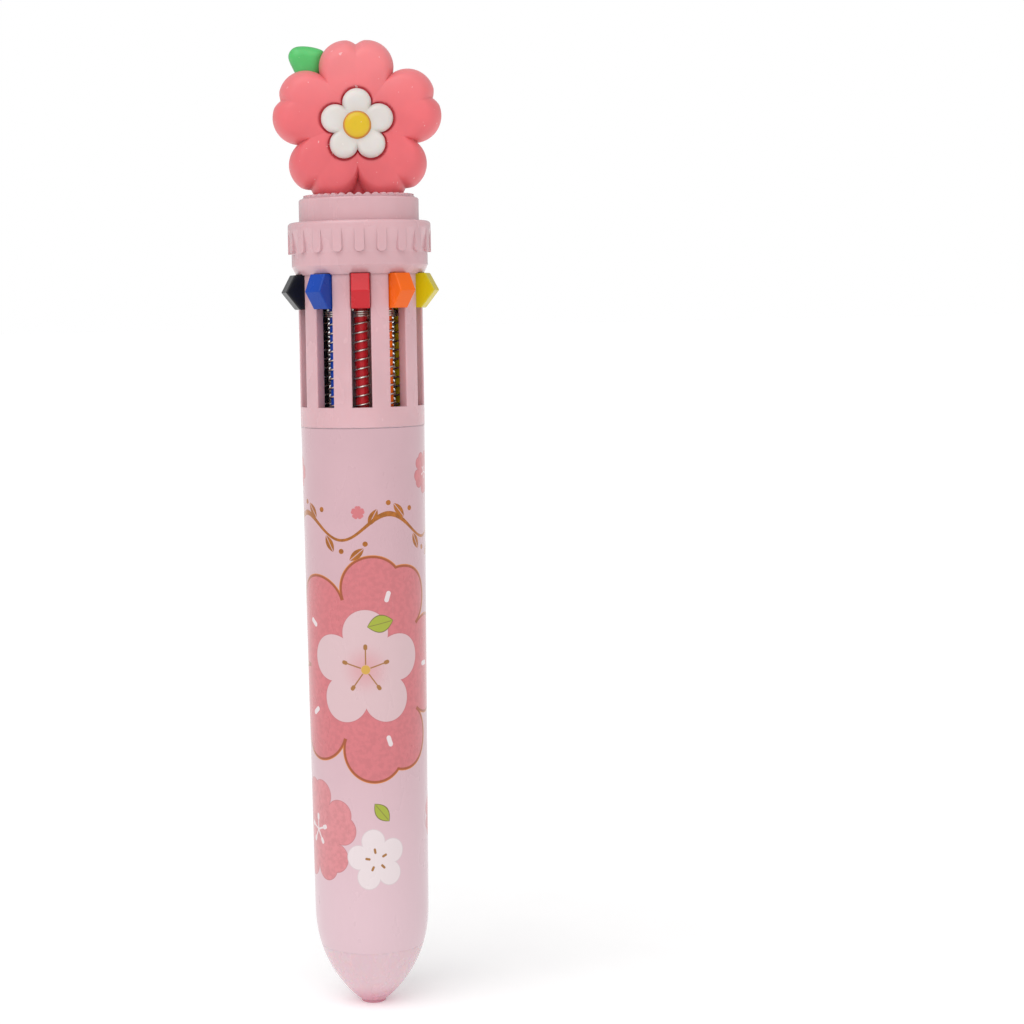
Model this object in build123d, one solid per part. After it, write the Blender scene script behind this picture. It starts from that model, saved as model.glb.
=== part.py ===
from build123d import *
import math
import os

# Ten-colour click pen, nose down. Millimetres, +Z up, origin at the middle of the nose end.

# Whole pen
COLOURS = ("red", "orange", "yellow", "green", "light_blue", "pink", "purple", "brown", "black", "blue")
PLUNGER_STEP = 360.0 / len(COLOURS)
PITCH_RADIUS = 6.9          # circle that the ten plungers stand on
CUT_OVER = 1.0              # how far a cut runs past the face it opens
TOUCH = 0.02                # gap between pieces fixed face to face

# Levels along the axis, from the nose up
FILM_START = 10.0
NOSE_SHOULDER = 16.5
BARREL_JOINT = 95.7
SLOT_BOTTOM = 99.0
BUTTON_BOTTOM = 115.1
BUTTON_TOP = 120.8
COLLAR_BOTTOM = 120.7
COLLAR_CHAMFER_TOP = 122.2
RIB_BOTTOM = 124.3
RIM_BOTTOM = 128.2
COLLAR_TOP = 129.5
CAP_TOP = 133.4
CROWN_TOP = 134.0
FLOWER_CENTRE = 145.8
BLOSSOM_CENTRE = 145.2

# Lower barrel and its printed film
FILM = 0.12                 # film wall
NOSE_HOLE = 1.35
NOSE_END = 2.0
NOSE_LAND = 0.4             # straight length of the nose hole
NOSE_BELLY = ((4.17, 2.0), (6.67, 5.33))    # radius and level of points on the nose's side
FOOT_RADIUS = 8.58          # where the film starts
SHOULDER_BELLY = (9.22, 12.6)
SHOULDER_RADIUS = 9.42
JOINT_RADIUS = 10.28
LIP_SLOPE = (1.0, 0.45)     # directions of the side, outward and up
FOOT_SLOPE = (0.43, 1.0)
SHOULDER_SLOPE = (0.018, 1.0)
FUNNEL = ((8.3, 15.6), (7.6, 10.0), (5.2, 4.7))     # inside of the nose, downward
INNER_TOP = 8.75            # inside radius just under the thread
SPIGOT_RADIUS = 9.05
SPIGOT_BOTTOM = 88.5
THREAD_PLAY = 0.06
THREAD_RUN_OUT = 0.3

# Upper barrel
UPPER_RADIUS = 10.33
UPPER_BORE = 8.45
SPIGOT_BORE = 8.05
SLOT_WIDTH = 3.2
SLOT_PLAY = 0.1             # room over a button at rest
UPPER_TOP = 127.5
EDGE = 0.2                  # small moulded edge round

# Collar
COLLAR_RADIUS = 11.33
COLLAR_FOOT_RADIUS = 10.6
RIM_RADIUS = 11.9
LIP_BORE = 8.5
RIM_ROUND = 0.6
RIB_COUNT = 20
RIB_WIDTH = 1.6
RIB_ROUND = 0.7             # lower corners of a rib
NOTCH_WIDTH = 3.35

# Cap, crown ring and flower peg
CAP_RADIUS = 10.0
CAP_ROUND = 0.35
CAP_WALL = 1.5
CAP_SPIGOT = 8.35
CAP_SPIGOT_BOTTOM = 124.0
PEG_RADIUS = 2.2
PEG_BOTTOM = 131.0
PEG_TOP = 140.0
CROWN_RADIUS = 9.35
CROWN_BORE = 7.4
CROWN_BASE = 0.2
TOOTH_COUNT = 40
TOOTH_FILL = 0.96           # share of the edge that the teeth's feet take
TOOTH_POINT = 0.25          # width of a tooth's tip as a share of its foot
TOOTH_DEPTH = 1.0
TOOTH_INSET = 0.15

# Plungers, springs and refills
BUTTON_WIDTH = 3.05
BUTTON_RIDGE = 13.3
BUTTON_TOP_CORNER = 11.75
BUTTON_LOW_CORNER = 11.0
BUTTON_ROUND = 0.22
BUTTON_ROOT = 7.4           # inner end of the button, behind the slot
WEB_WIDTH = 2.7
HEAD_RADIUS = 1.5
HEAD_TOP = 123.0
STEM_RADIUS = 1.08
STEM_BOTTOM = 88.0
STEM_SPIGOT = 0.78
STEM_SPIGOT_BOTTOM = 82.0
DISC_BOTTOM = 92.0
DISC_TOP = 95.0
DISC_HOLE = 1.14
POST_RADIUS = 3.5
POST_TOP = 130.9
SPRING_RADIUS = 1.3         # to the middle of the wire
SPRING_PLAY = 0.05
WIRE_RADIUS = 0.17
SPRING_PITCH = 1.47
TUBE_RADIUS = 1.25
TUBE_BORE = 0.8
TUBE_BOTTOM = 19.0
TIP_BOTTOM = 10.0
TIP_RADIUS = 1.15
TIP_SPIGOT = 0.77
TIP_SPIGOT_TOP = 22.0
TIP_CONE = ((0.36, 0.28), (0.62, 2.4), (0.78, 2.6), (1.15, 5.2))   # radius and level above the ball's foot
BALL_RADIUS = 0.35

# Flower head
FLOWER_HALF_DEPTH = 5.5
PETAL_COUNT = 5
LOBE_RADIUS = 4.6           # each petal is two lobes side by side
LOBE_SPREAD = 1.75
LOBE_REACH = 9.55
FLOWER_CORE = 9.6
PETAL_STEPS = ((0.0, 2.4), (0.6, 0.96), (1.44, 0.0))    # how far each step is drawn in and held back
BLOSSOM_PETAL = 2.4
BLOSSOM_REACH = 3.8
BLOSSOM_HEIGHT = 0.9
CENTRE_RADIUS = 2.45
CENTRE_RISE = 0.2           # straight side of the dome above the blossom
CENTRE_DOME = 1.1
LEAF_HALF_DEPTH = 1.6
LEAF_ROUND = 0.7
LEAF_CORNERS = ((-11.2, 11.2), (-9.9, 12.9), (-5.4, 12.3), (-3.5, 8.0), (-7.0, 5.0), (-10.2, 8.3))


def ring(outer, bore, bottom, top):
    """Straight tube about the pen's axis."""
    body = Cylinder(outer, top - bottom, align=(Align.CENTER, Align.CENTER, Align.MIN))
    hole = Cylinder(bore, top - bottom, align=(Align.CENTER, Align.CENTER, Align.MIN))
    return Pos(0, 0, bottom) * (body - hole)


def rod(radius, bottom, top, x=0.0, y=0.0):
    """Round bar parallel to the axis."""
    return Pos(x, y, bottom) * Cylinder(radius, top - bottom, align=(Align.CENTER, Align.CENTER, Align.MIN))


def turned(points):
    """Solid turned from a closed outline of (radius, z) corners."""
    return revolve(make_face(Plane.XZ * Polyline(*points, close=True)), Axis.Z)


def block(x0, x1, width, z0, z1):
    """Box that runs outward along X, centred on Y."""
    return Pos((x0 + x1) / 2, 0, (z0 + z1) / 2) * Box(x1 - x0, width, z1 - z0)


def around(count, shape):
    """Copies of a shape at even steps about the axis."""
    return [Rot(0, 0, i * 360.0 / count) * shape for i in range(count)]


def place(index):
    """Turns a plunger built on +X to its place; red, the first, is at the front."""
    return Rot(0, 0, index * PLUNGER_STEP - 90.0)


def save(shape, name):
    shape.label = name
    export_step(shape, os.path.join("parts", name + ".step"))


def skin_line(inset):
    """Side of the lower barrel from the film's foot to the joint, drawn in by the inset."""
    shoulder = Spline(
        (FOOT_RADIUS - inset, FILM_START),
        (SHOULDER_BELLY[0] - inset, SHOULDER_BELLY[1]),
        (SHOULDER_RADIUS - inset, NOSE_SHOULDER),
        tangents=(FOOT_SLOPE, SHOULDER_SLOPE),
    )
    side = Line((SHOULDER_RADIUS - inset, NOSE_SHOULDER), (JOINT_RADIUS - inset, BARREL_JOINT))
    return shoulder + side


def lower_barrel():
    """Nose cone and tapered tube in one moulding, with a counterbore for the upper barrel's thread."""
    nose = Spline((NOSE_END, 0), *NOSE_BELLY, (FOOT_RADIUS, FILM_START), tangents=(LIP_SLOPE, FOOT_SLOPE))
    step = Line((FOOT_RADIUS, FILM_START), (FOOT_RADIUS - FILM, FILM_START))
    inside = Polyline(
        (JOINT_RADIUS - FILM, BARREL_JOINT),
        (SPIGOT_RADIUS + THREAD_PLAY, BARREL_JOINT),
        (SPIGOT_RADIUS + THREAD_PLAY, SPIGOT_BOTTOM - THREAD_RUN_OUT),
        (INNER_TOP, SPIGOT_BOTTOM - THREAD_RUN_OUT),
        *FUNNEL,
        (NOSE_HOLE, NOSE_LAND),
        (NOSE_HOLE, 0),
        (NOSE_END, 0),
    )
    outline = Plane.XZ * (nose + step + skin_line(FILM) + inside)
    return revolve(make_face(outline), Axis.Z)


def print_film():
    """Thin printed sleeve shrunk over the barrel."""
    foot = Line((FOOT_RADIUS - FILM, FILM_START), (FOOT_RADIUS, FILM_START))
    top = Line((JOINT_RADIUS, BARREL_JOINT), (JOINT_RADIUS - FILM, BARREL_JOINT))
    return revolve(make_face(Plane.XZ * (foot + skin_line(0) + top + skin_line(FILM))), Axis.Z)


def slotted_barrel():
    """Tube with a threaded spigot below and ten through slots for the buttons."""
    tube = ring(UPPER_RADIUS, UPPER_BORE, BARREL_JOINT, UPPER_TOP)
    spigot = ring(SPIGOT_RADIUS, SPIGOT_BORE, SPIGOT_BOTTOM, DISC_BOTTOM)
    seat = ring(SPIGOT_RADIUS, UPPER_BORE, DISC_BOTTOM, BARREL_JOINT)
    barrel = tube + seat + spigot
    slot_top = BUTTON_TOP + SLOT_PLAY
    slot = block(UPPER_BORE - CUT_OVER, UPPER_RADIUS + CUT_OVER, SLOT_WIDTH, SLOT_BOTTOM, slot_top)
    barrel -= [place(0) * cut for cut in around(len(COLOURS), slot)]
    upright = barrel.edges().filter_by(Axis.Z)
    outer = upright.filter_by(lambda e: math.hypot(e.center().X, e.center().Y) > UPPER_RADIUS - EDGE)
    return fillet(outer, EDGE)


def collar():
    """Ring above the slots with ribs that stand out of a cone; its foot is notched over each button."""
    wall = turned(
        [
            (UPPER_RADIUS + TOUCH, COLLAR_BOTTOM),
            (COLLAR_FOOT_RADIUS, COLLAR_BOTTOM),
            (COLLAR_RADIUS, COLLAR_CHAMFER_TOP),
            (COLLAR_RADIUS, RIB_BOTTOM),
            (RIM_RADIUS, RIM_BOTTOM),
            (RIM_RADIUS, COLLAR_TOP),
            (LIP_BORE, COLLAR_TOP),
            (LIP_BORE, UPPER_TOP + TOUCH),
            (UPPER_RADIUS + TOUCH, UPPER_TOP + TOUCH),
        ]
    )
    rim = wall.edges().filter_by(GeomType.CIRCLE).group_by(Axis.Z)[-1].sort_by(SortBy.RADIUS)[-1]
    wall = fillet(rim, RIM_ROUND)
    rib = block(UPPER_RADIUS + RIM_ROUND, RIM_RADIUS + CUT_OVER, RIB_WIDTH, RIB_BOTTOM, RIM_BOTTOM)
    rib = fillet(rib.edges().filter_by(Axis.X).group_by(Axis.Z)[0], RIB_ROUND)
    rib = rib & rod(RIM_RADIUS, RIB_BOTTOM - CUT_OVER, RIM_BOTTOM + CUT_OVER)
    notch_top = BUTTON_TOP + SLOT_PLAY
    notch = block(LIP_BORE, RIM_RADIUS + CUT_OVER, NOTCH_WIDTH, COLLAR_BOTTOM - CUT_OVER, notch_top)
    shape = wall + [place(0) * r for r in around(RIB_COUNT, rib)]
    return shape - [place(0) * n for n in around(len(COLOURS), notch)]


def cap():
    """Closed cup with a spigot that plugs the upper barrel and holds the centre post."""
    shape = turned(
        [
            (PEG_RADIUS, CAP_TOP),
            (CAP_RADIUS, CAP_TOP),
            (CAP_RADIUS, COLLAR_TOP),
            (CAP_SPIGOT, COLLAR_TOP),
            (CAP_SPIGOT, CAP_SPIGOT_BOTTOM),
            (CAP_SPIGOT - CAP_WALL / 2, CAP_SPIGOT_BOTTOM),
            (CAP_SPIGOT - CAP_WALL / 2, CAP_TOP - 2 * CAP_WALL),
            (POST_RADIUS, CAP_TOP - 2 * CAP_WALL),
            (POST_RADIUS, POST_TOP),
            (PEG_RADIUS, POST_TOP),
        ]
    )
    edge = shape.edges().filter_by(GeomType.CIRCLE).group_by(Axis.Z)[-1].sort_by(SortBy.RADIUS)[-1]
    return fillet(edge, CAP_ROUND)


def crown_ring():
    """Flat washer with a row of small pointed teeth on its edge."""
    base = ring(CROWN_RADIUS, CROWN_BORE, CAP_TOP, CAP_TOP + CROWN_BASE)
    half = math.pi * CROWN_RADIUS / TOOTH_COUNT * TOOTH_FILL
    profile = Polyline(
        (-half, CAP_TOP + CROWN_BASE),
        (half, CAP_TOP + CROWN_BASE),
        (half * TOOTH_POINT, CROWN_TOP),
        (-half * TOOTH_POINT, CROWN_TOP),
        close=True,
    )
    tooth = Pos(CROWN_RADIUS - TOOTH_INSET, 0, 0) * extrude(make_face(Plane.YZ * profile), -TOOTH_DEPTH)
    return base + around(TOOTH_COUNT, tooth)


def petal_outline(inset):
    """Flower outline in its own plane: a core disc and five petals of two overlapping lobes each."""
    outline = Circle(FLOWER_CORE - inset)
    for petal in range(PETAL_COUNT):
        for side in (-1, 1):
            lobe = Pos(LOBE_REACH, side * LOBE_SPREAD) * Circle(LOBE_RADIUS - inset)
            outline += Rot(0, 0, 90.0 + petal * 360.0 / PETAL_COUNT) * lobe
    return outline


def flower_petals():
    """Puffed head in three steps of depth, cut flat where it sits on the crown and drilled for the peg."""
    steps = [
        extrude(Plane.XZ * petal_outline(inset), FLOWER_HALF_DEPTH - held_back, both=True)
        for inset, held_back in PETAL_STEPS
    ]
    head = Pos(0, 0, FLOWER_CENTRE) * (steps[0] + steps[1] + steps[2])
    foot_top = CROWN_TOP + TOUCH
    foot = block(-2 * FLOWER_CORE, 2 * FLOWER_CORE, 2 * FLOWER_CORE, CAP_TOP - FLOWER_CORE, foot_top)
    return head - foot - rod(PEG_RADIUS, CAP_TOP - CUT_OVER, PEG_TOP)


def flower_leaf(petals):
    """Flat leaf that grows from between the top and left petals."""
    leaf = extrude(Plane.XZ * make_face(Polyline(*LEAF_CORNERS, close=True)), LEAF_HALF_DEPTH, both=True)
    leaf = fillet(leaf.edges().filter_by(Axis.Y), LEAF_ROUND)
    return (Pos(0, 0, FLOWER_CENTRE) * leaf) - petals


def flower_blossom():
    """Raised five-petal blossom on the front of the head."""
    outline = Circle(BLOSSOM_REACH)
    for petal in range(PETAL_COUNT):
        turn = Rot(0, 0, 90.0 + petal * 360.0 / PETAL_COUNT)
        outline += turn * Pos(BLOSSOM_REACH, 0) * Circle(BLOSSOM_PETAL)
    outline -= Circle(CENTRE_RADIUS)
    front = Plane.XZ.offset(FLOWER_HALF_DEPTH)
    return Pos(0, 0, BLOSSOM_CENTRE) * extrude(front * outline, BLOSSOM_HEIGHT)


def flower_centre():
    """Domed disc that fills the blossom."""
    top = BLOSSOM_HEIGHT + CENTRE_RISE + CENTRE_DOME
    ball_radius = (CENTRE_RADIUS**2 + CENTRE_DOME**2) / (2 * CENTRE_DOME)
    dome = rod(CENTRE_RADIUS, 0, top) & Pos(0, 0, top - ball_radius) * Sphere(ball_radius)
    return Pos(0, -FLOWER_HALF_DEPTH, BLOSSOM_CENTRE) * Rot(90, 0, 0) * dome


def guide_disc():
    """Plate that the ten stems slide through."""
    disc = ring(UPPER_BORE, POST_RADIUS, DISC_BOTTOM, DISC_TOP)
    hole = rod(DISC_HOLE, DISC_BOTTOM - CUT_OVER, DISC_TOP + CUT_OVER, PITCH_RADIUS)
    return disc - [place(0) * h for h in around(len(COLOURS), hole)]


def plunger():
    """Button, web and stem in one moulding, built on +X."""
    middle = (BUTTON_BOTTOM + BUTTON_TOP) / 2
    side = Polyline(
        (BUTTON_ROOT, BUTTON_BOTTOM),
        (BUTTON_LOW_CORNER, BUTTON_BOTTOM),
        (BUTTON_RIDGE, middle),
        (BUTTON_TOP_CORNER, BUTTON_TOP),
        (BUTTON_ROOT, BUTTON_TOP),
        close=True,
    )
    button = extrude(Plane.XZ * make_face(side), BUTTON_WIDTH / 2, both=True)
    outside = button.edges().filter_by(lambda e: e.center().X > UPPER_RADIUS + BUTTON_ROUND)
    button = fillet(outside, BUTTON_ROUND)
    web = block(PITCH_RADIUS, UPPER_BORE, WEB_WIDTH, BUTTON_BOTTOM, BUTTON_TOP)
    head = rod(HEAD_RADIUS, BUTTON_BOTTOM, HEAD_TOP, PITCH_RADIUS)
    stem = rod(STEM_RADIUS, STEM_BOTTOM, BUTTON_BOTTOM, PITCH_RADIUS)
    spigot = rod(STEM_SPIGOT, STEM_SPIGOT_BOTTOM, STEM_BOTTOM, PITCH_RADIUS)
    return button + web + head + stem + spigot


def spring():
    """Open-wound return spring round a stem, between the guide disc and the button head."""
    seat = DISC_TOP + WIRE_RADIUS + SPRING_PLAY
    length = BUTTON_BOTTOM - WIRE_RADIUS - SPRING_PLAY - seat
    path = Helix(SPRING_PITCH, length, SPRING_RADIUS)
    section = Plane(origin=path @ 0, z_dir=path % 0) * Circle(WIRE_RADIUS)
    return Pos(PITCH_RADIUS, 0, seat) * sweep(section, path=path, is_frenet=True)


def refill_tube():
    """Plastic ink tube pushed on the stem's spigot."""
    tube = rod(TUBE_RADIUS, TUBE_BOTTOM, STEM_BOTTOM, PITCH_RADIUS)
    return tube - rod(TUBE_BORE, TUBE_BOTTOM, STEM_BOTTOM, PITCH_RADIUS)


def refill_tip():
    """Metal writing point with its ball; a spigot holds it in the tube."""
    point = turned(
        [
            (0, TIP_BOTTOM + TIP_CONE[0][1]),
            *[(radius, TIP_BOTTOM + level) for radius, level in TIP_CONE],
            (TIP_RADIUS, TUBE_BOTTOM),
            (TIP_SPIGOT, TUBE_BOTTOM),
            (TIP_SPIGOT, TIP_SPIGOT_TOP),
            (0, TIP_SPIGOT_TOP),
        ]
    )
    ball = Pos(0, 0, TIP_BOTTOM + BALL_RADIUS) * Sphere(BALL_RADIUS)
    return Pos(PITCH_RADIUS, 0, 0) * (point + ball)


os.makedirs("parts", exist_ok=True)

petals = flower_petals()
save(lower_barrel(), "lower_barrel")
save(print_film(), "print_film")
save(slotted_barrel(), "slotted_barrel")
save(collar(), "collar")
save(cap(), "cap")
save(crown_ring(), "crown_ring")
save(petals, "flower_petals")
save(flower_leaf(petals), "flower_leaf")
save(flower_blossom(), "flower_blossom")
save(flower_centre(), "flower_centre")
save(rod(PEG_RADIUS, PEG_BOTTOM, PEG_TOP), "flower_peg")
save(guide_disc(), "guide_disc")
save(rod(POST_RADIUS, DISC_BOTTOM, POST_TOP), "centre_post")

moving = {"plunger": plunger(), "spring": spring(), "refill_tube": refill_tube(), "refill_tip": refill_tip()}
for index, colour in enumerate(COLOURS):
    for piece, shape in moving.items():
        save(place(index) * shape, piece + "_" + colour)
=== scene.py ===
import math

import bmesh
import bpy
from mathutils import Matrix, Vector


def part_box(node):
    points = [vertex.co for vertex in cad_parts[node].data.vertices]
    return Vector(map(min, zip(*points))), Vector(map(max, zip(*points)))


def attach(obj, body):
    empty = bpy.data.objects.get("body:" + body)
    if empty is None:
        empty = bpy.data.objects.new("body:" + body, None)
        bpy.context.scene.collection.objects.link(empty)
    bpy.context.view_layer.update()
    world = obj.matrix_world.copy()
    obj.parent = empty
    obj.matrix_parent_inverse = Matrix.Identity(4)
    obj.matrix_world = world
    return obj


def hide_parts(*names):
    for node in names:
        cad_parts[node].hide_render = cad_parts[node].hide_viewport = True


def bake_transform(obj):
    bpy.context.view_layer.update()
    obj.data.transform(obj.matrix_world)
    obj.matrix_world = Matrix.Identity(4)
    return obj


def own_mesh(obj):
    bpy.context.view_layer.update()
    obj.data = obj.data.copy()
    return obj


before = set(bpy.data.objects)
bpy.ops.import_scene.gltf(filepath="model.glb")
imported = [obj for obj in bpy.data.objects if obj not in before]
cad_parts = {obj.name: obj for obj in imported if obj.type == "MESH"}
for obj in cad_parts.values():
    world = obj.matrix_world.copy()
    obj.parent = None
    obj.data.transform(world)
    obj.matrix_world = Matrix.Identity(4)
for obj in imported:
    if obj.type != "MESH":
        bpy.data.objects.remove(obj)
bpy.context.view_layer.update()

# ---------------------------------------------------------------------------------------------
# Centre post and guide disc. Plain moulded core parts in the pen's own pink, never meant to be
# seen: the post ties the disc to the cap, and the ten stems slide through the disc's holes.


def tone(red, green, blue):
    """Linear RGBA from display values of 0 to 255."""
    return tuple(((v / 255 + 0.055) / 1.055) ** 2.4 for v in (red, green, blue)) + (1.0,)


def shade(colour, share):
    """The same colour, darker or lighter."""
    return tuple(min(1.0, v * share) for v in colour[:3]) + (1.0,)


class Wire:
    """One socket of a material. Arithmetic on it adds Math nodes; make() adds any other node."""

    def __init__(self, tree, socket=None):
        self.tree = tree
        self.socket = socket

    def make(self, kind, settings=None, sockets=None, out=0):
        node = self.tree.nodes.new("ShaderNode" + kind)
        for name, value in (settings or {}).items():
            setattr(node, name, value)
        for key, value in (sockets or {}).items():
            if isinstance(value, Wire):
                self.tree.links.new(value.socket, node.inputs[key])
            else:
                node.inputs[key].default_value = value
        return Wire(self.tree, node.outputs[out])

    def math(self, operation, *values, clamp=False):
        sockets = dict(enumerate((self,) + values))
        return self.make("Math", {"operation": operation, "use_clamp": clamp}, sockets)

    def __add__(self, other):
        return self.math("ADD", other)

    def __sub__(self, other):
        return self.math("SUBTRACT", other)

    def __rsub__(self, other):
        return (self * -1.0).math("ADD", other)

    def __mul__(self, other):
        return self.math("MULTIPLY", other)

    def __pow__(self, other):
        return self.math("POWER", other)

    def __abs__(self):
        return self.math("ABSOLUTE")

    __radd__ = __add__
    __rmul__ = __mul__

    def mix(self, first, second):
        """Colour that goes from the first to the second as this value goes from 0 to 1."""
        return self.make("Mix", {"data_type": "RGBA"}, {0: self, 6: first, 7: second}, out=2)

    def step(self, low, high):
        """Smooth rise from 0 at low to 1 at high."""
        sockets = {"Value": self, "From Min": low, "From Max": high}
        return self.make("MapRange", {"interpolation_type": "SMOOTHSTEP"}, sockets)

    def stretch(self, *scale):
        return self.make("VectorMath", {"operation": "MULTIPLY"}, {0: self, 1: scale})

    def noise(self, scale, detail):
        return self.make("TexNoise", {}, {"Vector": self, "Scale": scale, "Detail": detail})


def paint(name):
    """A new material: itself, its Principled shader, and where the surface is, in metres."""
    made = bpy.data.materials.new(name)
    made.use_nodes = True
    where = Wire(made.node_tree).make("TexCoord", out="Object")
    return made, made.node_tree.nodes["Principled BSDF"], where


def feed(shader, **sockets):
    """Links or sets the shader's sockets; an underscore in a name stands for a space."""
    for name, value in sockets.items():
        socket = shader.inputs[name.replace("_", " ")]
        if isinstance(value, Wire):
            value.tree.links.new(value.socket, socket)
        else:
            socket.default_value = value


def bump(height, distance, strength=0.4, edge=None):
    """Normal from a height; with an edge radius, sharp edges catch light as if slightly rounded."""
    sockets = {"Height": height, "Distance": distance, "Strength": strength}
    if edge:
        sockets["Normal"] = height.make("Bevel", {"samples": 4}, {"Radius": edge})
    return height.make("Bump", {}, sockets)


def moulded(name, colour, gloss=0.24, depth=0.12, edge=None):
    """Injection-moulded plastic: cloudy tint, flow lines along the pen, handling smears and fine rubs."""
    made, shader, where = paint(name)
    cloud = where.noise(110.0, 3.0)
    flow = where.stretch(1.0, 1.0, 0.06).noise(1100.0, 2.0)
    smear = where.stretch(1.0, 1.0, 0.5).noise(260.0, 4.0)
    grain = where.noise(5200.0, 2.0)
    worn = where.stretch(1.0, 1.0, 0.03).noise(2600.0, 1.0).step(0.62, 0.78) * smear.step(0.5, 0.7)
    body = cloud.step(0.3, 0.7).mix(shade(colour, 1.0 - depth), shade(colour, 1.0 + depth * 0.6))
    tinted = (worn * 0.06).mix(body, shade(colour, 1.4))
    rough = gloss + smear.step(0.3, 0.8) * 0.12 + worn * 0.08
    relief = flow * 0.4 + grain * 0.4 - worn * 0.1
    feed(shader, Base_Color=tinted, Roughness=rough, Normal=bump(relief, 0.00003, edge=edge))
    return made, shader


def dress(material, *nodes):
    """Gives CAD nodes a finish."""
    for node in nodes:
        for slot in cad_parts[node].material_slots:
            slot.material = material


PINK = tone(215, 172, 178)

core, core_shader = moulded("core_plastic", shade(PINK, 0.9), gloss=0.4)
feed(core_shader, Subsurface_Weight=0.15, Subsurface_Scale=0.001)
dress(core, "centre_post", "guide_disc")

# ---------------------------------------------------------------------------------------------
# Plungers. Each is one moulding in its ink's colour: a button with two sloped faces outside the
# slot and a round stem inside. They slide down the slots against their springs.

BUTTONS = {
    "red": tone(196, 30, 40),
    "orange": tone(244, 104, 2),
    "yellow": tone(206, 186, 4),
    "green": tone(0, 158, 116),
    "light_blue": tone(84, 162, 204),
    "pink": tone(210, 132, 164),
    "purple": tone(112, 68, 158),
    "brown": tone(104, 62, 38),
    "black": tone(20, 20, 25),
    "blue": tone(4, 66, 168),
}
PITCH_CIRCLE = 0.0069
PLACES = {
    colour: (PITCH_CIRCLE * math.sin(turn), -PITCH_CIRCLE * math.cos(turn))
    for turn, colour in ((math.tau * i / len(BUTTONS), colour) for i, colour in enumerate(BUTTONS))
}
for colour, hue in BUTTONS.items():
    plastic, plastic_shader = moulded("button_" + colour, hue, gloss=0.2, edge=0.00012)
    feed(plastic_shader, Specular_IOR_Level=0.3, Coat_Weight=0.04, Coat_Roughness=0.1)
    dress(plastic, "plunger_" + colour)

# ---------------------------------------------------------------------------------------------
# Return springs. Bright drawn steel wire, close-wound at both ends, threaded over each stem
# between the guide disc and the button's head.


def piece(name, points, faces, material, sharp=0.7):
    """A mesh object with smooth faces, kept sharp where they meet at more than the angle."""
    mesh = bpy.data.meshes.new(name)
    mesh.from_pydata(points, [], faces)
    mesh.shade_smooth()
    mesh.set_sharp_from_angle(angle=sharp)
    mesh.materials.append(material)
    made = bpy.data.objects.new(name, mesh)
    bpy.context.scene.collection.objects.link(made)
    return made


def grid_faces(rows, columns, closed_rows=False):
    """Quads of a grid whose rows are rings; the rows may close on themselves too."""
    faces = []
    for row in range(rows if closed_rows else rows - 1):
        upper = (row + 1) % rows
        for i in range(columns):
            j = (i + 1) % columns
            faces.append((row * columns + i, row * columns + j, upper * columns + j, upper * columns + i))
    return faces


WIRE = 0.00017
COIL = 0.0013
SPRING_FOOT = 0.095
SPRING_HEAD = 0.1151
OPEN_TURNS = 12.0
END_TURNS = (2.5, 3.0)      # close-wound turns at the foot and at the head
CLOSE_PITCH = 2.1 * WIRE    # the close-wound turns all but touch
LOWEST_TURN = SPRING_FOOT + CLOSE_PITCH / 2
HIGHEST_TURN = SPRING_HEAD - CLOSE_PITCH / 2
TURN_STEPS = 26
WIRE_SIDES = 9

steel, steel_shader, on_steel = paint("spring_steel")
drawn = on_steel.noise(9000.0, 3.0)
feed(
    steel_shader,
    Base_Color=drawn.step(0.3, 0.7).mix(tone(176, 172, 164), tone(226, 223, 216)),
    Metallic=1.0,
    Roughness=0.18 + drawn * 0.16,
    Normal=bump(drawn, 0.00001),
)


def spring_height(turn):
    """Height of the wire's middle after so many turns from the foot."""
    foot_end = LOWEST_TURN + CLOSE_PITCH * END_TURNS[0]
    head_start = HIGHEST_TURN - CLOSE_PITCH * END_TURNS[1]
    if turn < END_TURNS[0]:
        return LOWEST_TURN + CLOSE_PITCH * turn
    if turn > END_TURNS[0] + OPEN_TURNS:
        return HIGHEST_TURN - CLOSE_PITCH * (sum(END_TURNS) + OPEN_TURNS - turn)
    return foot_end + (head_start - foot_end) * (turn - END_TURNS[0]) / OPEN_TURNS


def spring(name, x, y):
    points = []
    steps = round((sum(END_TURNS) + OPEN_TURNS) * TURN_STEPS)
    for step in range(steps + 1):
        turn = step / TURN_STEPS
        swing = math.tau * turn
        for side in range(WIRE_SIDES):
            roll = math.tau * side / WIRE_SIDES
            radius = COIL + WIRE * math.cos(roll)
            height = spring_height(turn) + WIRE * math.sin(roll)
            points.append((x + radius * math.cos(swing), y + radius * math.sin(swing), height))
    faces = grid_faces(steps + 1, WIRE_SIDES)
    faces.append(tuple(range(WIRE_SIDES)))
    faces.append(tuple(reversed(range(steps * WIRE_SIDES, (steps + 1) * WIRE_SIDES))))
    return piece(name, points, [tuple(reversed(face)) for face in faces], steel)


for colour, (x, y) in PLACES.items():
    coil = spring("coil_" + colour, x, y)
    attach(coil, "housing")
    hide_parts("spring_" + colour)
    "press_" + colour
    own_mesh(coil)

# ---------------------------------------------------------------------------------------------
# Refill tubes. Milky extruded tubes, filled with ink to a little below the stem; they hang from
# the stems.


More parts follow.
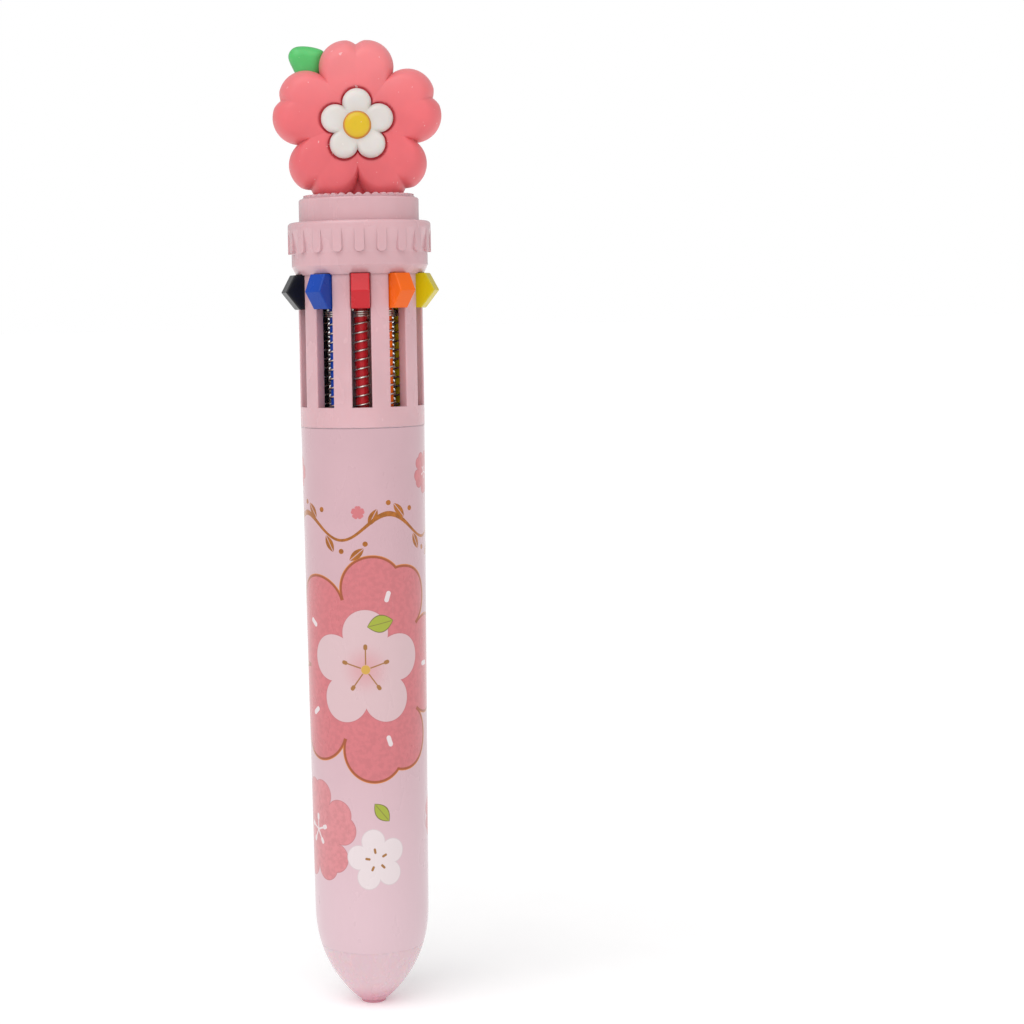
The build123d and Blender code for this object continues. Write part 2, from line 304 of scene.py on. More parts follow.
def turned(name, outline, material, middle=(0.0, 0.0), steps=96):
    """Mesh turned about an upright line. The outline of (radius, height) runs anticlockwise and
    closes on itself, unless it starts on the line, where it makes a single point."""
    points = []
    rings = []
    for radius, height in outline:
        count = 1 if radius == 0 else steps
        rings.append(range(len(points), len(points) + count))
        for i in range(count):
            swing = math.tau * i / steps
            x = middle[0] + radius * math.cos(swing)
            y = middle[1] + radius * math.sin(swing)
            points.append((x, y, height))
    uppers = rings[1:] if outline[0][0] == 0 else rings[1:] + rings[:1]
    faces = []
    for low, high in zip(rings, uppers):
        for i in range(steps):
            j = (i + 1) % steps
            corners = (low[i % len(low)], low[j % len(low)], high[j % len(high)], high[i % len(high)])
            faces.append(tuple(dict.fromkeys(corners)))
    return piece(name, points, faces, material)


TUBE_RADIUS = 0.00125
TUBE_BORE = 0.0008
TUBE_FOOT = 0.019
TUBE_HEAD = 0.088
TUBE_RINGS = 46
INK_TOP = 0.079


def ink_tube(colour, hue):
    """Clear, slightly milky tube with ink to a level and a film of it left on the wall above."""
    made, shader, where = paint("ink_tube_" + colour)
    height = where.make("SeparateXYZ", {}, {0: where}, out="Z")
    blots = where.noise(900.0, 4.0)
    full = (height + blots * 0.0012).step(INK_TOP + 0.0009, INK_TOP + 0.0002)
    film = blots.step(0.52, 0.68) * 0.35
    dregs = (full + film * (1 - full)).mix(tone(226, 224, 218), shade(hue, 0.75))
    feed(shader, Base_Color=dregs, Roughness=0.22 + blots * 0.12, Normal=bump(blots, 0.00001))
    feed(shader, Coat_Weight=0.3, Coat_Roughness=0.08)
    return made


for colour, (x, y) in PLACES.items():
    rise = [TUBE_FOOT + (TUBE_HEAD - TUBE_FOOT) * i / TUBE_RINGS for i in range(TUBE_RINGS + 1)]
    wall = [(TUBE_RADIUS, z) for z in rise] + [(TUBE_BORE, z) for z in reversed(rise)]
    tube = turned("ink_tube_" + colour, wall, ink_tube(colour, BUTTONS[colour]), (x, y), steps=20)
    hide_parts("refill_tube_" + colour)
    "ink_" + colour
    "plunger_" + colour
    "tip_" + colour
    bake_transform(tube)

# ---------------------------------------------------------------------------------------------
# Writing points. Turned nickel-silver cones pressed into the tubes, with fine rings left by the
# lathe and a hard ball in the end.

metal, metal_shader, on_metal = paint("turned_tip_metal")
lathe = on_metal.stretch(0.05, 0.05, 1.0).noise(14000.0, 2.0)
haze = on_metal.noise(700.0, 3.0)
feed(
    metal_shader,
    Base_Color=haze.step(0.35, 0.7).mix(tone(206, 196, 170), tone(160, 150, 128)),
    Metallic=1.0,
    Roughness=0.2 + lathe * 0.2 + haze * 0.1,
    Normal=bump(lathe, 0.00001),
)
dress(metal, *["refill_tip_" + colour for colour in BUTTONS])

# ---------------------------------------------------------------------------------------------
# Slotted barrel, collar, cap and crown ring. Glossy pink mouldings, a little translucent at thin
# edges. The collar snaps over the barrel's top, and the cap plugs it and carries the flower.

shell, shell_shader = moulded("shell_plastic", PINK, gloss=0.2, depth=0.05, edge=0.00022)
feed(shell_shader, Subsurface_Weight=0.25, Subsurface_Scale=0.0012, Subsurface_Radius=(1.0, 0.55, 0.5))
feed(shell_shader, Coat_Weight=0.25, Coat_Roughness=0.06)
dress(shell, "slotted_barrel", "collar", "cap", "crown_ring")

# ---------------------------------------------------------------------------------------------
# Flower head and peg. One soft vinyl moulding with five notched petals, puffed on both faces and
# creased where they join, pushed on a peg that is pressed in the cap. Its foot is cut flat.

FLOWER_MIDDLE = 0.1458
HEAD_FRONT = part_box("flower_petals")[0].y
HEAD_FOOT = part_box("flower_petals")[0].z
HEAD_HALF = 0.0048          # half the head's thickness inside its rounded rim
HEAD_CROWN = 0.0007         # how much more there is in the middle
HEAD_ROUND = 0.003          # width of the rounded rim
PETALS = 5
HALF_PETAL = math.pi / PETALS
LOBE_RADIUS = 0.0045        # each petal is a pair of round lobes side by side
LOBE_REACH = 0.0095
LOBE_SPREAD = 0.00175
NOTCH_DEPTH = 0.0003
NOTCH_ANGLE = 0.1
PARTING_DEPTH = 0.0008
PARTING_ANGLE = 0.35
SEAM_DEPTH = 0.0004         # between two petals, only near the rim
SEAM_WIDTH = 0.0015
DENT_DEPTH = 0.0004         # down from each tip's notch
DENT_WIDTH = 0.0005
GROOVE_DEPTH = 0.00035      # round the blossom
GROOVE_WIDTH = 0.00032
GROOVE_GAP = 0.00012
BLOSSOM_REACH = 0.0061
BLOSSOM_LOBE = 0.00238
SOFT_EDGE = 1.2             # soft mouldings keep only edges steeper than this angle sharp


def fold(angle):
    """Angle from the nearest petal's middle line, from 0 to half a petal."""
    return abs((angle - math.pi / 2 + HALF_PETAL) % (2 * HALF_PETAL) - HALF_PETAL)


def lobe_edge(angle, reach, spread, radius):
    """Outline of petals whose lobes are circles to each side of the petal's middle line."""
    turn = fold(angle) - math.atan2(spread, reach)
    out = math.hypot(reach, spread)
    return out * math.cos(turn) + math.sqrt(max(0.0, radius**2 - (out * math.sin(turn)) ** 2))


def petal_edge(angle):
    """Each tip has a small notch, and the valley between the two lower petals is a little deeper."""
    parting = max(0.0, 1 - abs((angle % math.tau) - 1.5 * math.pi) / PARTING_ANGLE) ** 2
    notch = max(0.0, 1 - fold(angle) / NOTCH_ANGLE)
    petals = lobe_edge(angle, LOBE_REACH, LOBE_SPREAD, LOBE_RADIUS)
    return petals - PARTING_DEPTH * parting - NOTCH_DEPTH * notch


def blossom_edge(angle):
    return lobe_edge(angle, BLOSSOM_REACH - BLOSSOM_LOBE, 0.0, BLOSSOM_LOBE)


def rounded(gap, width):
    """Height share of a rounded rim: 0 on the edge, 1 from a width inside it."""
    return math.sqrt(max(0.0, 1 - (1 - min(gap / width, 1.0)) ** 2.2))


def bell(distance, width):
    return math.exp(-((distance / width) ** 2))


def ramp(value, start, width):
    """Straight rise from 0 at the start to 1 a width further on."""
    return min(1.0, max(0.0, (value - start) / width))


BLOSSOM_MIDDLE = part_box("flower_centre")[0].z / 2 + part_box("flower_centre")[1].z / 2
BLOSSOM_DROP = FLOWER_MIDDLE - BLOSSOM_MIDDLE


def petal_face(angle, radius, edge):
    """Half thickness of the head, and the share of painted shade a point gets in the seams, dents and
    groove.
    """
    out = ramp(radius, 0.0058, 0.004)
    seam = bell(radius * (HALF_PETAL - fold(angle)), SEAM_WIDTH) * out
    dent = bell(radius * fold(angle), DENT_WIDTH) * ramp(radius, 0.0118, 0.0018)
    across, rise = radius * math.cos(angle), radius * math.sin(angle) + BLOSSOM_DROP
    around = blossom_edge(math.atan2(rise, across)) + GROOVE_GAP
    groove = bell(math.hypot(across, rise) - around, GROOVE_WIDTH)
    crown = math.cos(min(radius / edge, 1.0) * math.pi / 2) * HEAD_CROWN
    thick = (HEAD_HALF + crown - SEAM_DEPTH * seam) * rounded(edge - radius, HEAD_ROUND)
    thick -= DENT_DEPTH * dent + GROOVE_DEPTH * groove
    # The second value is painted shade in the seams, the notch dents and the groove round the blossom.
    return max(thick, 0.0), min(1.0, 0.12 * seam * out + groove + 0.15 * dent)


def blossom_face(angle, radius, edge):
    seam = bell(radius * (HALF_PETAL - fold(angle)), 0.0005) * ramp(radius, 0.0021, 0.003)
    middle = bell(radius, 0.0027)
    thick = 0.0012 * rounded(edge - radius, 0.0015) * (1 - 0.4 * seam) - 0.0003 * middle
    # The second value is painted shade between the lobes and in the sunken middle.
    return max(thick, 0.0), min(1.0, 0.5 * seam + 0.5 * middle)


def puffed(name, material, middle, edge, face, front, columns, rings, back_share, foot=None):
    """Cushion-like mesh on a disc grid: the face function gives the height of the front at each
    point and its share of painted shade where creased, which is kept for the material; the back has a
    share of the height."""
    points = []
    crease_shades = []
    for half in (-1, 1):
        for ring in range(rings + 1):
            for column in range(columns):
                angle = math.tau * column / columns
                limit = edge(angle)
                radius = limit * math.sin(math.pi / 2 * ring / rings) if ring else 0.0
                height, crease_shade = face(angle, radius, limit)
                x = middle[0] + radius * math.cos(angle)
                z = middle[1] + radius * math.sin(angle)
                depth = front - height if half < 0 else front + height * back_share
                points.append((x, depth, z if foot is None else max(z, foot)))
                crease_shades.append(crease_shade)
    sheet = grid_faces(rings + 1, columns)
    shift = (rings + 1) * columns
    faces = sheet + [tuple(reversed([v + shift for v in quad])) for quad in sheet]
    made = piece(name, points, faces, material, SOFT_EDGE)
    value = made.data.attributes.new("crease_shade", "FLOAT", "POINT")
    value.data.foreach_set("value", crease_shades)
    weld(made)
    return made


def weld(made):
    """Joins the points that the two faces share along the edge and at the middle."""
    mesh = made.data
    shell = bmesh.new()
    shell.from_mesh(mesh)
    bmesh.ops.remove_doubles(shell, verts=shell.verts, dist=1e-7)
    bmesh.ops.recalc_face_normals(shell, faces=shell.faces)
    shell.to_mesh(mesh)
    shell.free()


def soft_vinyl(name, colour, crease_shade_colour, top_light_colour, gloss=0.42):
    """Soft vinyl: satin, with painted light making it paler upward and painted shade where it is creased,
    with dust specks and a mould texture.
    """
    made, shader, where = paint(name)
    crease_shade = where.make("Attribute", {"attribute_name": "crease_shade"}, out="Fac")
    cloud = where.noise(160.0, 3.0)
    grain = where.noise(3800.0, 3.0)
    speck = where.noise(1500.0, 1.0).step(0.74, 0.78)
    height = where.make("SeparateXYZ", {}, {0: where}, out="Z")
    body = cloud.step(0.3, 0.7).mix(shade(colour, 0.95), shade(colour, 1.04))
    # Painted light: paler towards the top of the head, as if lit from above.
    body = (height.step(0.144, 0.1605) * 0.6).mix(body, top_light_colour)
    # Painted shade: darker where the mesh attribute marks a fold, seam or groove.
    tinted = crease_shade.step(0.08, 0.8).mix(body, crease_shade_colour)
    dusty = (speck * 0.35).mix(tinted, tone(250, 240, 238))
    feed(shader, Base_Color=dusty, Roughness=gloss + cloud * 0.12 + speck * 0.2)
    feed(shader, Normal=bump(grain * 0.7 + cloud, 0.00004, 0.35))
    feed(shader, Subsurface_Weight=0.2, Subsurface_Scale=0.0015, Sheen_Weight=0.12, Sheen_Roughness=0.4)
    return made


# The three colours: the vinyl, its painted shade where creased, and its painted light at the top.
coral = soft_vinyl("petal_vinyl", tone(230, 104, 110), tone(176, 12, 32), tone(241, 148, 150))
head = puffed(
    "flower_head", coral, (0.0, FLOWER_MIDDLE), petal_edge, petal_face, 0.0, 360, 54, 1.0, foot=HEAD_FOOT
)
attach(head, "housing")
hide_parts("flower_petals")
peg_vinyl, _ = moulded("peg_plastic", tone(214, 82, 92), gloss=0.4)
dress(peg_vinyl, "flower_peg")

# ---------------------------------------------------------------------------------------------
# Blossom and its centre. A white vinyl blossom of five round lobes set in a groove of the head,
# with a yellow button in the middle; its rim and the button's foot carry painted shade in a darker
# orange.

# The blossom's vinyl, its painted shade between the lobes and in the middle, and its painted light at the
# top.
white_tones = (tone(219, 213, 208), tone(196, 184, 174), tone(224, 220, 216))
white = soft_vinyl("blossom_vinyl", *white_tones, gloss=0.36)
blossom = puffed(
    "flower_blossom_white",
    white,
    (0.0, BLOSSOM_MIDDLE),
    blossom_edge,
    blossom_face,
    HEAD_FRONT + 0.00025,
    240,
    26,
    0.0,
)
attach(blossom, "housing")
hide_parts("flower_blossom")

CENTRE_RIM = 0.00245
CENTRE_BUTTON = 0.00222
RIM_HEIGHT = 0.00035
BUTTON_BASE = 0.0002
BUTTON_HEIGHT = 0.0009


def centre_face(angle, radius, edge):
    """A low rim with a rounded button standing in it; the second value is painted shade, full on the rim
    and in a band round the button's foot.
    """
    rim = RIM_HEIGHT * rounded(edge - radius, 0.0003)
    if radius >= CENTRE_BUTTON:
        return rim, 1.0
    button = BUTTON_BASE + BUTTON_HEIGHT * rounded(CENTRE_BUTTON - radius, 0.0011)
    return max(rim, button), bell(radius - CENTRE_BUTTON, 0.0002)


# The yellow vinyl, its darker orange painted shade on the rim and round the button's foot, and its
# painted light at the top.
yolk = soft_vinyl("centre_vinyl", tone(220, 184, 22), tone(208, 132, 34), tone(226, 192, 30), gloss=0.3)
centre = puffed(
    "flower_centre_yellow",
    yolk,
    (0.0, BLOSSOM_MIDDLE),
    lambda angle: CENTRE_RIM,
    centre_face,
    HEAD_FRONT - 0.0005,
    96,
    28,
    0.0,
)
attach(centre, "housing")
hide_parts("flower_centre")

# ---------------------------------------------------------------------------------------------
# Leaf. A small puffed green tab between the top and the left petal, from the same soft vinyl.

LEAF_MIDDLE = (-0.0082, 0.0107)
LEAF_SIDES = ((92, 2.6), (147, 3.3), (206, 2.65), (270, 3.4), (346, 2.7), (68, 2.7))  # degrees, mm
LEAF_CORNER = 7             # the higher, the sharper the corners
LEAF_HALF = 0.0016
LEAF_ROUND = 0.0021
LEAF_VEIN = math.radians(125)


def leaf_edge(angle):
    """Rounded polygon from the direction and distance of its sides."""
    pull = 0.0
    for side, distance in LEAF_SIDES:
        facing = math.cos(angle - math.radians(side))
        pull += (max(facing, 0.0) / (distance * 0.001)) ** LEAF_CORNER
    return pull ** (-1 / LEAF_CORNER)


def leaf_face(angle, radius, edge):
    vein = bell(radius * math.sin(angle - LEAF_VEIN), 0.00025) * 0.15
    # The second value darkens a line along the vein, and the rounded rim as painted shade.
    return LEAF_HALF * rounded(edge - radius, LEAF_ROUND), vein + bell(edge - radius, 0.00025) * 0.4


# The green vinyl, its darker green for the vein line and the painted shade at the rim, and its painted
# light at the top.
green = soft_vinyl("leaf_vinyl", tone(72, 186, 96), tone(36, 132, 60), tone(92, 200, 112), gloss=0.36)
leaf = puffed(
    "flower_leaf_green",
    green,
    (LEAF_MIDDLE[0], FLOWER_MIDDLE + LEAF_MIDDLE[1]),
    leaf_edge,
    leaf_face,
    0.0,
    120,
    20,
    1.0,
)
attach(leaf, "housing")
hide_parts("flower_leaf")

# ---------------------------------------------------------------------------------------------
# Lower barrel. One moulding from the nose hole to the screw joint, bare only at the nose, with a
# counterbore at the top for the upper barrel's thread.

JOINT_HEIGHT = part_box("lower_barrel")[1].z
FILM_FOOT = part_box("print_film")[0].z
FILM_WALL = 0.00012
NOSE_HOLE = 0.00135
NOSE_FLAT = 0.00035
NOSE_RADIUS = 0.00203
SHOULDER_HEIGHT = 0.0165
SHOULDER_RADIUS = 0.00942
JOINT_RADIUS = 0.01028
COUNTERBORE = 0.00911
COUNTERBORE_FOOT = 0.0882
BORE = ((0.00875, COUNTERBORE_FOOT), (0.0083, 0.0156), (0.0076, 0.010), (0.0052, 0.0047))
HOLE_TOP = 0.0004


def skin_radius(z):
    """Outside radius of the barrel with its film, up from the nose."""
    if z < NOSE_FLAT:
        return NOSE_RADIUS
    if z < SHOULDER_HEIGHT:
        share = 1 - (z - NOSE_FLAT) / (SHOULDER_HEIGHT - NOSE_FLAT)
        return NOSE_RADIUS + (SHOULDER_RADIUS - NOSE_RADIUS) * (1 - share**2.3) ** 0.9
    share = (z - SHOULDER_HEIGHT) / (JOINT_HEIGHT - SHOULDER_HEIGHT)
    return SHOULDER_RADIUS + (JOINT_RADIUS - SHOULDER_RADIUS) * share


def levels(low, high, count):
    return [low + (high - low) * i / count for i in range(count + 1)]


outside = [(NOSE_HOLE, 0.0), (NOSE_RADIUS - 0.0001, 0.0), (NOSE_RADIUS, 0.0001)]
outside += [(skin_radius(z), z) for z in levels(NOSE_FLAT, FILM_FOOT, 48)]
outside += [(skin_radius(z) - FILM_WALL, z) for z in levels(FILM_FOOT + 0.00002, JOINT_HEIGHT, 60)]
bore = [(COUNTERBORE, JOINT_HEIGHT), (COUNTERBORE, COUNTERBORE_FOOT), *BORE, (NOSE_HOLE, HOLE_TOP)]

tip_pink = tone(206, 142, 158)
nose, nose_shader, on_nose = paint("nose_plastic")
height = on_nose.make("SeparateXYZ", {}, {0: on_nose}, out="Z")
milky = on_nose.noise(130.0, 3.0)
rub = on_nose.stretch(1.0, 1.0, 0.4).noise(700.0, 4.0)
base = milky.step(0.3, 0.7).mix(tone(216, 185, 192), tone(219, 189, 196))
feed(
    nose_shader,
    Base_Color=height.step(0.0002, 0.0042).mix(tip_pink, base),
    Roughness=0.22 + rub.step(0.3, 0.8) * 0.1,
    Normal=bump(rub * 0.3 + on_nose.noise(4200.0, 2.0) * 0.5, 0.000003),
    Subsurface_Weight=0.25,
    Subsurface_Scale=0.0015,
    Coat_Weight=0.25,
    Coat_Roughness=0.06,
)
barrel = turned("barrel_moulding", outside + bore, nose, steps=160)
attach(barrel, "lower_barrel")
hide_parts("lower_barrel")

# ---------------------------------------------------------------------------------------------
# Printed film. A thin glossy sleeve shrunk tight round the barrel and printed all round with
# blossoms, leaves and a gilt vine; it ends in a small step above the nose.

PRINT_RADIUS = 9.9          # mm; the print is laid out flat at this radius
HALF_ROUND = math.pi * PRINT_RADIUS
INK_EDGE = 0.07             # mm; softness of a printed edge

film, film_shader, on_film = paint("printed_film")
on_film_x = on_film.make("SeparateXYZ", {}, {0: on_film}, out="X")
on_film_y = on_film.make("SeparateXYZ", {}, {0: on_film}, out="Y")
up = on_film.make("SeparateXYZ", {}, {0: on_film}, out="Z") * 1000.0
arc = on_film_x.math("ARCTAN2", on_film_y * -1.0) * PRINT_RADIUS
mottle = on_film.noise(1300.0, 2.0)


def from_point(across, height, period=2 * HALF_ROUND):
    """Distances in mm from a point of the print, which may repeat round the barrel."""
    return (arc - across).math("WRAP", period / 2, -period / 2), up - height


def length(u, v):
    return (u * u + v * v).math("SQRT")


def ink(depth):
    """Cover of an ink whose edge is where the depth is 0."""
    return depth.math("MULTIPLY_ADD", 1 / INK_EDGE, 0.5, clamp=True)


def petal_place(middle, turn):
    """A point's distance from a blossom's middle, and its place along and across the nearest petal."""
    u, v = from_point(*middle)
    far = length(u, v)
    angle = (v.math("ARCTAN2", u) - math.radians(turn)).math("WRAP", HALF_PETAL, -HALF_PETAL)
    return far, far * angle.math("COSINE"), far * angle.math("SINE")


def printed_blossom(middle, reach, turn, lobes):
    """Depth inside a five-petal blossom, and a point's place along and across its petal. The lobes
    are given as shares of the reach: how far out, how far to each side, radius, and the core's radius."""
    far, along, over = petal_place(middle, turn)
    out, side, radius, core = (share * reach for share in lobes)
    depth = radius - length(along - out, abs(over) - side)
    return depth.math("MAXIMUM", core - far), along, over


def bar(u, v, start, end, width):
    """Depth inside a bar with round ends that lies along u."""
    beyond = (abs(u - (start + end) / 2) - (end - start) / 2).math("MAXIMUM", 0.0)
    return width / 2 - length(beyond, v)


def printed_leaf(middle, size, tilt, period=2 * HALF_ROUND):
    """Depth inside a leaf with two pointed ends."""
    u, v = from_point(*middle, period)
    turn = math.radians(tilt)
    along = u * math.cos(turn) + v * math.sin(turn)
    over = v * math.cos(turn) - u * math.sin(turn)
    return (1 - (along * (2 / size[0])) ** 2.0) * (size[1] / 2) - abs(over), over


NOTCHED = (0.695, 0.152, 0.289, 0.66)
ROUND = (0.61, 0.0, 0.39, 0.55)
FILM_PINK = tone(202, 164, 172)
LOWER_FILM_FADE_AND_LIGHT = tone(217, 186, 194)
ROSE = tone(202, 108, 114)
SOFT_ROSE = tone(208, 128, 133)
OUTLINE = tone(160, 78, 38)
CREAM = tone(212, 180, 184)
WHITE_INK = tone(224, 210, 212)
STAMEN = tone(158, 104, 38)
LEAF_INK = tone(158, 168, 34)
LEAF_LINE = tone(112, 100, 30)
GILT = tone(168, 98, 24)

cloudy = on_film.noise(120.0, 3.0)
look = cloudy.step(0.3, 0.7).mix(FILM_PINK, shade(FILM_PINK, 1.04))
# Paler towards the foot: partly a printed fade, partly painted light for the more brightly lit lower
# barrel.
look = up.step(62.0, 10.0).mix(look, LOWER_FILM_FADE_AND_LIGHT)

# Plain blossoms: place round and up the barrel, reach, turn, colour
PLAIN = (
    ((12.9, 88.0), 3.6, 60, ROSE),
    ((-14.9, 88.3), 2.7, 72, ROSE),
    ((-10.9, 29.6), 8.5, 18, SOFT_ROSE),
    ((16.4, 31.0), 4.2, 0, ROSE),
    ((27.5, 64.0), 6.4, 40, ROSE),
    ((-26.0, 44.5), 5.0, 10, SOFT_ROSE),
    ((30.0, 22.5), 3.4, 25, SOFT_ROSE),
)
for middle, reach, turn, hue in PLAIN:
    depth, along, over = printed_blossom(middle, reach, turn, NOTCHED)
    dotted = mottle.step(0.35, 0.65).mix(shade(hue, 0.94), shade(hue, 1.07))
    look = ink(depth).mix(look, shade(hue, 0.8))
    look = ink(depth - 0.12).mix(look, dotted)
    rays = bar(along, over, 0.0, reach * 0.24, reach * 0.035)
    drops = bar(along, over, reach * 0.22, reach * 0.27, reach * 0.085)
    look = ink(rays.math("MAXIMUM", drops)).mix(look, WHITE_INK)

# The large blossom: gilt-brown outline, a pale round-petalled heart and a white dash on each petal
LARGE = (-0.3, 56.5)
LARGE_REACH = 18.5
HEART_REACH = 9.7
LINE_WIDTH = 0.36
depth, along, over = printed_blossom(LARGE, LARGE_REACH, 0, NOTCHED)
dotted = mottle.step(0.35, 0.65).mix(shade(ROSE, 0.95), shade(ROSE, 1.06))
look = ink(depth + 0.12).mix(look, shade(GILT, 1.6))
look = ink(depth).mix(look, OUTLINE)
look = ink(depth - LINE_WIDTH).mix(look, dotted)
gilded = ink(depth) * (1 - ink(depth - LINE_WIDTH))
look = ink(bar(along, over, 11.8, 12.9, 0.78)).mix(look, WHITE_INK)
depth, along, over = printed_blossom(LARGE, HEART_REACH, 18, ROUND)
look = ink(depth + 0.1).mix(look, shade(ROSE, 0.85))
look = ink(depth).mix(look, CREAM)
flush = length(along, over).step(4.6, 0.4)
look = (flush * 0.5 * ink(depth)).mix(look, SOFT_ROSE)
threads = bar(along, over, 0.9, 3.3, 0.22)
anthers = bar(along, over, 3.5, 3.8, 0.66)
look = ink(threads.math("MAXIMUM", anthers)).mix(look, STAMEN)
look = ink(0.75 - length(along, over)).mix(look, tone(206, 160, 60))

# White blossoms with short brown stamens: place, reach, turn
WHITES = (((0.95, 25.5), 5.05, 28), ((-22.5, 70.5), 4.2, 50), ((23.5, 44.0), 4.4, 5))
for middle, reach, turn in WHITES:
    depth, along, over = printed_blossom(middle, reach, turn, ROUND)
    look = ink(depth + 0.05).mix(look, shade(WHITE_INK, 0.86))
    look = ink(depth - 0.07).mix(look, WHITE_INK)
    look = ink(bar(along, over, reach * 0.25, reach * 0.35, reach * 0.08)).mix(look, STAMEN)

# Leaves with a fine darker line and a midrib: place, length and width, tilt
LEAVES = (
    ((2.25, 63.9), (4.5, 2.9), 12),
    ((2.0, 33.2), (3.9, 2.3), -50),
    ((-20.0, 60.0), (3.6, 1.9), 35),
    ((25.0, 53.5), (3.8, 2.0), -20),
    ((24.5, 33.0), (3.4, 1.8), 60),
    ((-30.5, 30.0), (3.6, 1.9), -35),
    ((-20.0, 37.5), (3.2, 1.7), 70),
)
for middle, size, tilt in LEAVES:
    depth, over = printed_leaf(middle, size, tilt)
    look = ink(depth).mix(look, LEAF_LINE)
    look = ink(depth - 0.16).mix(look, LEAF_INK)
    look = (ink(0.05 - abs(over)) * ink(depth - 0.35)).mix(look, LEAF_LINE)

# Gilt vine round the barrel: a wavy stem with paired leaves and berries at each wave
VINE_HEIGHT = 79.6
VINE_WAVE = HALF_ROUND / 2
VINE_SWING = 2.1
VINE_HALF = 0.26            # half the stem's width, more on each crest and less in each trough
VINE_SWELL = 0.08
VINE_SLANT = 0.78           # the stem lies aslant, so it's this much thinner than it is tall
VINE_CREST = VINE_WAVE / 4
VINE_LEAF = (3.1, 1.35)
VINE_LEAVES = ((-2.6, 1.6, 62), (1.9, 2.6, -50), (5.6, -2.7, -62), (-5.3, -4.4, 40))
BERRIES = ((0.0, 3.9), (4.1, 2.8), (-3.9, -2.7), (7.7, -3.9))
BERRY_RADIUS = 0.42
bend = (arc * (math.tau / VINE_WAVE)).math("SINE")
vine = VINE_HALF + VINE_SWELL * bend - abs(up - VINE_HEIGHT - bend * VINE_SWING) * VINE_SLANT
for shift, rise, tilt in VINE_LEAVES:
    place = (VINE_CREST + shift, VINE_HEIGHT + rise)
    depth, over = printed_leaf(place, VINE_LEAF, tilt, VINE_WAVE)
    vine = vine.math("MAXIMUM", depth.math("MINIMUM", abs(over) - 0.06))
for shift, rise in BERRIES:
    u, v = from_point(VINE_CREST + shift, VINE_HEIGHT + rise, VINE_WAVE)
    vine = vine.math("MAXIMUM", BERRY_RADIUS - length(u, v))
depth, along, over = printed_blossom((-1.1, 82.0), 1.1, 18, NOTCHED)
bud = ink(depth)
gilding = ink(vine) * (1 - bud)
look = gilding.mix(look, mottle.step(0.3, 0.7).mix(shade(GILT, 0.8), shade(GILT, 1.15)))
look = bud.mix(look, ROSE)

# The film itself: a heat seam down the back, puckers at the shrunk foot, smears and fine rubs
smear = on_film.stretch(1.0, 1.0, 0.4).noise(240.0, 4.0)
worn = on_film.stretch(1.0, 1.0, 0.02).noise(2600.0, 1.0).step(0.62, 0.78) * smear.step(0.5, 0.7)
seam = (HALF_ROUND - abs(arc)).step(0.55, 0.35)
pucker = (arc * 3.1 + mottle * 2.0).math("SINE") * up.step(13.5, 10.2)
relief = seam * 1.6 + pucker * 0.35 + ink(vine) * 0.25 + mottle * 0.1 - worn * 0.1
feed(
    film_shader,
    Base_Color=(worn * 0.06).mix(look, tone(240, 226, 228)),
    Roughness=0.26 + smear.step(0.3, 0.8) * 0.1 + worn * 0.08 - gilding * 0.06,
    Metallic=(gilding + gilded * 0.5) * 0.7,
    Normal=bump(relief, 0.00005, 0.35),
    Coat_Weight=0.5,
    Coat_Roughness=0.05,
)
film_rings = levels(FILM_FOOT + 0.00001, JOINT_HEIGHT - FILM_WALL, 90)
sleeve = [(skin_radius(z) - FILM_WALL * 0.9, z) for z in reversed(film_rings)]
sleeve += [(skin_radius(z), z) for z in film_rings]
wrap = turned("printed_sleeve", sleeve, film, steps=200)
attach(wrap, "lower_barrel")
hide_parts("print_film")

# ---------------------------------------------------------------------------------------------
# Studio. A wide pale floor that runs into a white backdrop, a very broad soft lamp above and to the
# left of the camera, a weak one to the right, and a dim even room round the pen.

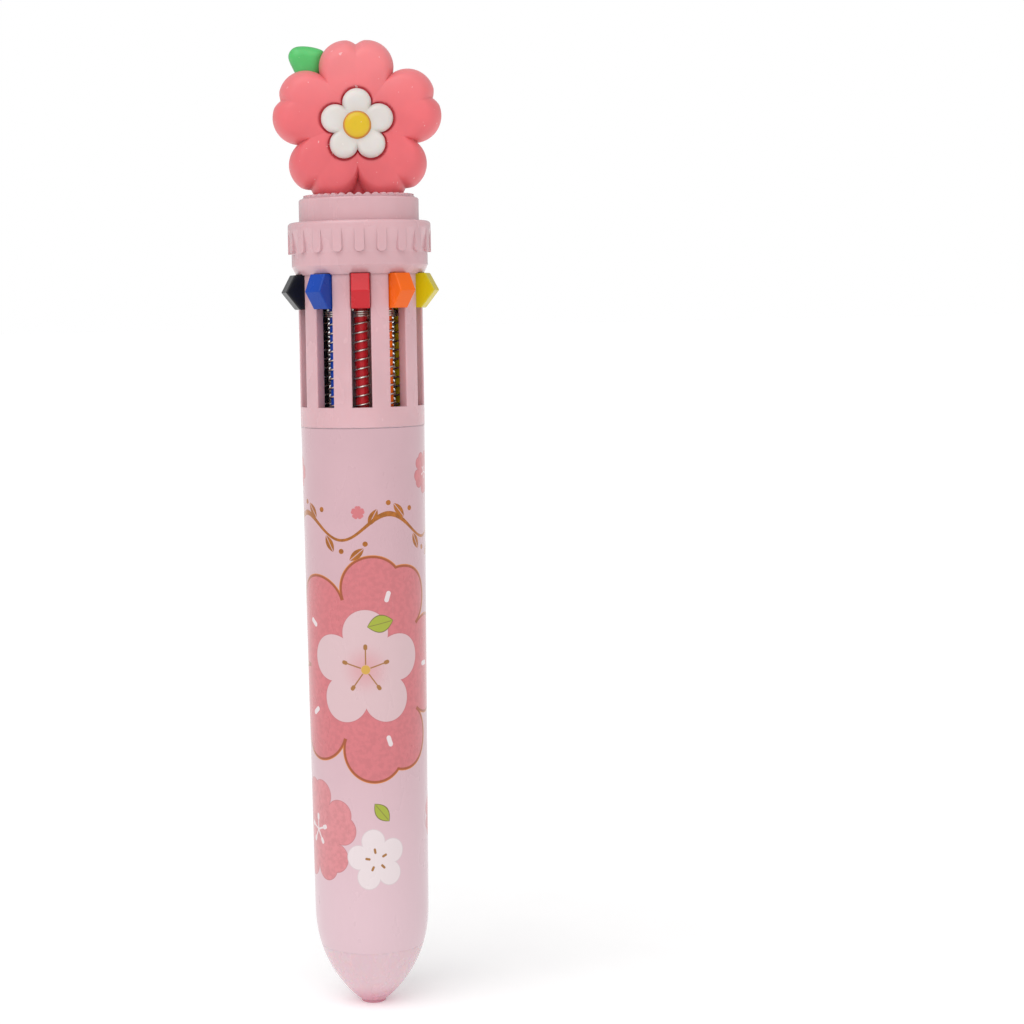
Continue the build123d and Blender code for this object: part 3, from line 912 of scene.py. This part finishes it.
floor_paint, floor_shader, on_floor = paint("floor_paper")
fibre = on_floor.noise(90.0, 4.0)
feed(
    floor_shader,
    Base_Color=fibre.mix(tone(247, 247, 247), tone(252, 252, 252)),
    Roughness=0.8 + fibre * 0.1,
    Normal=bump(fibre, 0.0001, 0.1),
    Emission_Color=(1.0, 1.0, 1.0, 1.0),
    Emission_Strength=0.2,
)
FLOOR_LEVEL = -0.00002
floor = turned("floor", [(radius, FLOOR_LEVEL) for radius in (0.0, 0.3, 30.0)], floor_paint)

ROOM_LIGHT = 0.55
world = bpy.data.worlds.new("studio")
world.use_nodes = True
backdrop = Wire(world.node_tree).make("LightPath", out="Is Camera Ray") * (1.0 - ROOM_LIGHT) + ROOM_LIGHT
world.node_tree.links.new(backdrop.socket, world.node_tree.nodes["Background"].inputs["Strength"])
world.node_tree.nodes["Background"].inputs["Color"].default_value = (1.0, 1.0, 1.0, 1.0)
bpy.context.scene.world = world


def soft_lamp(name, direction, power, spread):
    """Lamp far away, as wide in the sky as the spread."""
    lamp = bpy.data.lights.new(name, "SUN")
    lamp.energy = power
    lamp.angle = math.radians(spread)
    made = bpy.data.objects.new(name, lamp)
    made.rotation_euler = Vector(direction).to_track_quat("Z", "Y").to_euler()
    bpy.context.scene.collection.objects.link(made)


soft_lamp("key_left", (-0.45, -0.75, 1.0), 1.35, 60.0)
soft_lamp("fill_right", (0.9, -0.8, 0.7), 0.25, 60.0)

# Camera: level, a little above the buttons, with a small roll that leans the pen in the frame
CAMERA_DISTANCE = 0.36
CAMERA_HEIGHT = 0.1133
FRAME_HEIGHT = 1024 / 6 * 0.001
camera_data = bpy.data.cameras.new("camera")
camera_data.sensor_width = 36.0
camera_data.lens = camera_data.sensor_width * CAMERA_DISTANCE / FRAME_HEIGHT
camera_data.shift_x = 0.1476
camera_data.shift_y = -0.188
camera_data.clip_start = 0.01
camera = bpy.data.objects.new("camera", camera_data)
camera.location = (0.0, -CAMERA_DISTANCE, CAMERA_HEIGHT)
camera.rotation_euler = (math.radians(90.0), math.radians(1.1), 0.0)
bpy.context.scene.collection.objects.link(camera)
bpy.context.scene.camera = camera
bpy.context.scene.view_settings.view_transform = "Standard"
